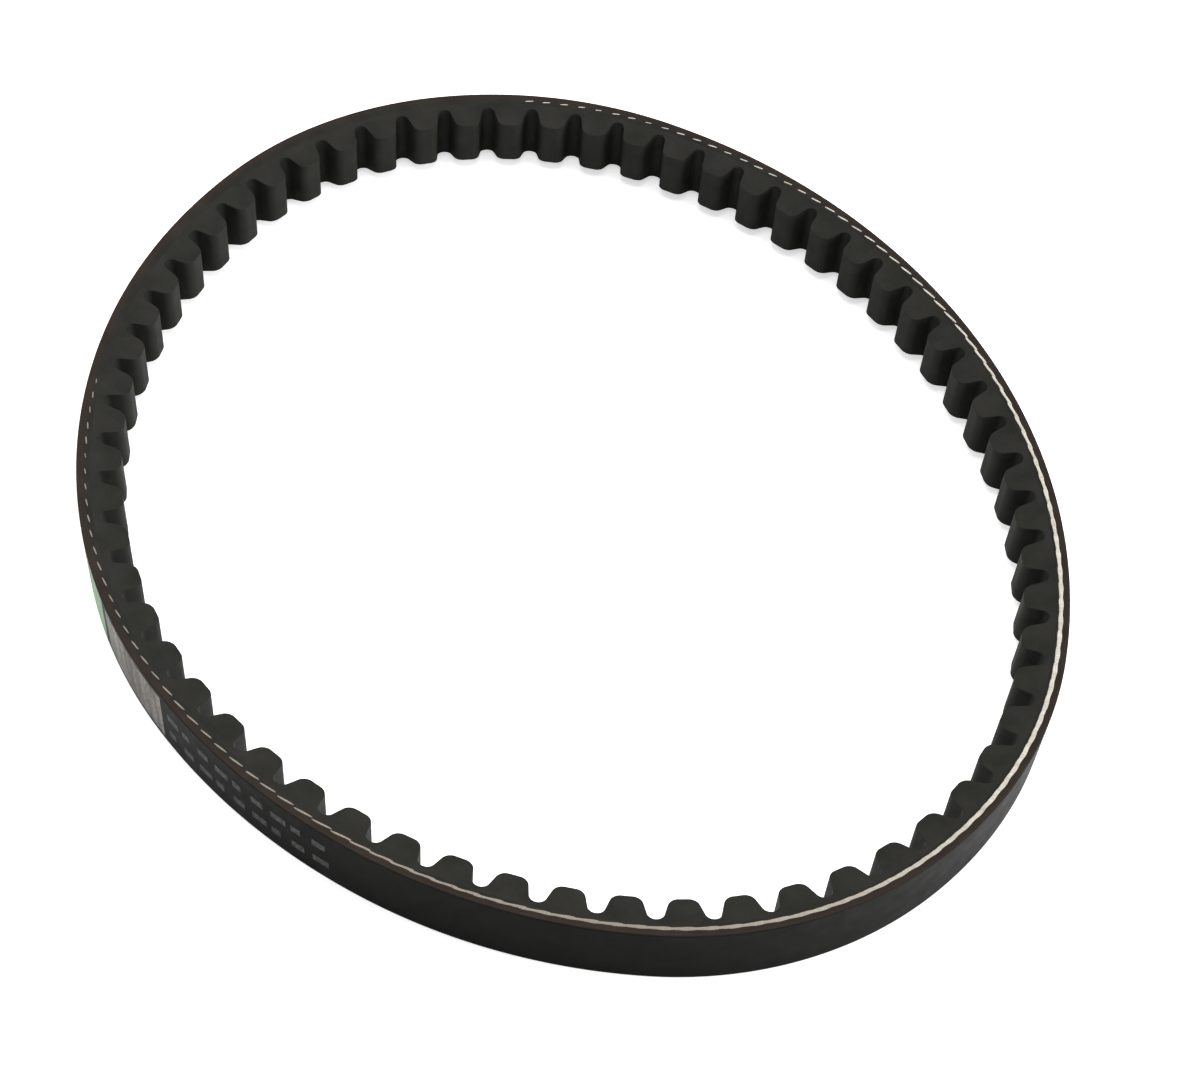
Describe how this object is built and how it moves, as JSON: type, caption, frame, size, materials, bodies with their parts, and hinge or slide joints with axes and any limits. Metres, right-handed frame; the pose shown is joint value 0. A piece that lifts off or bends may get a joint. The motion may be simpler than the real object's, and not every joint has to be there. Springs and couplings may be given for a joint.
{
  "type": "cogged v-belt",
  "caption": "Endless cogged V-belt with a wound cord layer under its back, lying relaxed in an oval; its sloping sides grip V pulleys.",
  "frame": {"origin": "middle of the loop, halfway across the belt's width", "axes": "+X along the loop's long axis, +Y along its short axis towards the closing cog, +Z across the belt's width, up when the belt lies flat"},
  "size_m": [0.273, 0.23, 0.0178],
  "materials": {
    "back_rubber": "matte, fabric-grained, slightly brown",
    "adhesion_gum": "matte",
    "tension_cord": "twisted cord, cut open along the sides",
    "cog_rubber": "matte, with fine cut fibres on the side faces",
    "green_ink": "worn ink",
    "pale_ink": "worn ink",
    "bar_ink": "worn ink"
  },
  "bodies": {
    "span_00": {"back_rubber_00": "back_rubber", "adhesion_gum_00": "adhesion_gum", "tension_cord_00": "tension_cord", "cog_rubber_00": "cog_rubber"},
    "span_01": {"back_rubber_01": "back_rubber", "adhesion_gum_01": "adhesion_gum", "tension_cord_01": "tension_cord", "cog_rubber_01": "cog_rubber"},
    "span_02": {"back_rubber_02": "back_rubber", "adhesion_gum_02": "adhesion_gum", "tension_cord_02": "tension_cord", "cog_rubber_02": "cog_rubber"},
    "span_03": {"back_rubber_03": "back_rubber", "adhesion_gum_03": "adhesion_gum", "tension_cord_03": "tension_cord", "cog_rubber_03": "cog_rubber"},
    "span_04": {"back_rubber_04": "back_rubber", "adhesion_gum_04": "adhesion_gum", "tension_cord_04": "tension_cord", "cog_rubber_04": "cog_rubber"},
    "span_05": {"back_rubber_05": "back_rubber", "adhesion_gum_05": "adhesion_gum", "tension_cord_05": "tension_cord", "cog_rubber_05": "cog_rubber"},
    "span_06": {"back_rubber_06": "back_rubber", "adhesion_gum_06": "adhesion_gum", "tension_cord_06": "tension_cord", "cog_rubber_06": "cog_rubber", "green_mark": "green_ink", "pale_label": "pale_ink"},
    "span_07": {"back_rubber_07": "back_rubber", "adhesion_gum_07": "adhesion_gum", "tension_cord_07": "tension_cord", "cog_rubber_07": "cog_rubber", "print_bars": "bar_ink"},
    "span_08": {"back_rubber_08": "back_rubber", "adhesion_gum_08": "adhesion_gum", "tension_cord_08": "tension_cord", "cog_rubber_08": "cog_rubber"},
    "span_09": {"back_rubber_09": "back_rubber", "adhesion_gum_09": "adhesion_gum", "tension_cord_09": "tension_cord", "cog_rubber_09": "cog_rubber"},
    "span_10": {"back_rubber_10": "back_rubber", "adhesion_gum_10": "adhesion_gum", "tension_cord_10": "tension_cord", "cog_rubber_10": "cog_rubber"},
    "span_11": {"back_rubber_11": "back_rubber", "adhesion_gum_11": "adhesion_gum", "tension_cord_11": "tension_cord", "cog_rubber_11": "cog_rubber"},
    "span_12": {"back_rubber_12": "back_rubber", "adhesion_gum_12": "adhesion_gum", "tension_cord_12": "tension_cord", "cog_rubber_12": "cog_rubber"}
  },
  "joints": [
    {"name": "flex", "type": "hinge", "parent": "span_06", "child": "span_07", "pos_m": [0.02523, -0.11042, 0], "axis": [0, 0, 1], "range_deg": [-10, 7], "stiffness_Nm_per_rad": 0.35},
    {"name": "bend_06", "type": "hinge", "parent": "span_06", "child": "span_05", "pos_m": [-0.02523, -0.11042, 0], "axis": [0, 0, 1], "range_deg": [-7.05, 10.05], "stiffness_Nm_per_rad": 0.35},
    {"name": "bend_08", "type": "hinge", "parent": "span_07", "child": "span_08", "pos_m": [0.08298, -0.08516, 0], "axis": [0, 0, 1], "range_deg": [-0.68, 0.49], "stiffness_Nm_per_rad": 0.35},
    {"name": "bend_05", "type": "hinge", "parent": "span_05", "child": "span_04", "pos_m": [-0.08298, -0.08516, 0], "axis": [0, 0, 1], "range_deg": [-0.49, 0.68], "stiffness_Nm_per_rad": 0.35},
    {"name": "bend_09", "type": "hinge", "parent": "span_08", "child": "span_09", "pos_m": [0.12425, -0.03766, 0], "axis": [0, 0, 1], "range_deg": [-6.66, 9.49], "stiffness_Nm_per_rad": 0.35},
    {"name": "bend_04", "type": "hinge", "parent": "span_04", "child": "span_03", "pos_m": [-0.12425, -0.03766, 0], "axis": [0, 0, 1], "range_deg": [-9.49, 6.66], "stiffness_Nm_per_rad": 0.35},
    {"name": "bend_10", "type": "hinge", "parent": "span_09", "child": "span_10", "pos_m": [0.13212, 0.02401, 0], "axis": [0, 0, 1], "range_deg": [-7.21, 10.28], "stiffness_Nm_per_rad": 0.35},
    {"name": "bend_03", "type": "hinge", "parent": "span_03", "child": "span_02", "pos_m": [-0.13212, 0.02401, 0], "axis": [0, 0, 1], "range_deg": [-10.28, 7.21], "stiffness_Nm_per_rad": 0.35},
    {"name": "bend_11", "type": "hinge", "parent": "span_10", "child": "span_11", "pos_m": [0.09952, 0.07724, 0], "axis": [0, 0, 1], "range_deg": [-2, 2.84], "stiffness_Nm_per_rad": 0.35},
    {"name": "bend_02", "type": "hinge", "parent": "span_02", "child": "span_01", "pos_m": [-0.09952, 0.07724, 0], "axis": [0, 0, 1], "range_deg": [-2.84, 2], "stiffness_Nm_per_rad": 0.35},
    {"name": "bend_12", "type": "hinge", "parent": "span_11", "child": "span_12", "pos_m": [0.04388, 0.10685, 0], "axis": [0, 0, 1], "range_deg": [-11.88, 8.33], "stiffness_Nm_per_rad": 0.35},
    {"name": "bend_01", "type": "hinge", "parent": "span_01", "child": "span_00", "pos_m": [-0.04388, 0.10685, 0], "axis": [0, 0, 1], "range_deg": [-8.33, 11.88], "stiffness_Nm_per_rad": 0.35}
  ],
  "couplings": [
    {"joint": "bend_06", "follows": "flex", "ratio": -1},
    {"joint": "bend_08", "follows": "flex", "ratio": 0.0634},
    {"joint": "bend_05", "follows": "flex", "ratio": -0.0634},
    {"joint": "bend_09", "follows": "flex", "ratio": -0.9441},
    {"joint": "bend_04", "follows": "flex", "ratio": 0.9441},
    {"joint": "bend_10", "follows": "flex", "ratio": -1.0234},
    {"joint": "bend_03", "follows": "flex", "ratio": 1.0234},
    {"joint": "bend_11", "follows": "flex", "ratio": -0.2786},
    {"joint": "bend_02", "follows": "flex", "ratio": 0.2786},
    {"joint": "bend_12", "follows": "flex", "ratio": 1.1827},
    {"joint": "bend_01", "follows": "flex", "ratio": -1.1827}
  ]
}
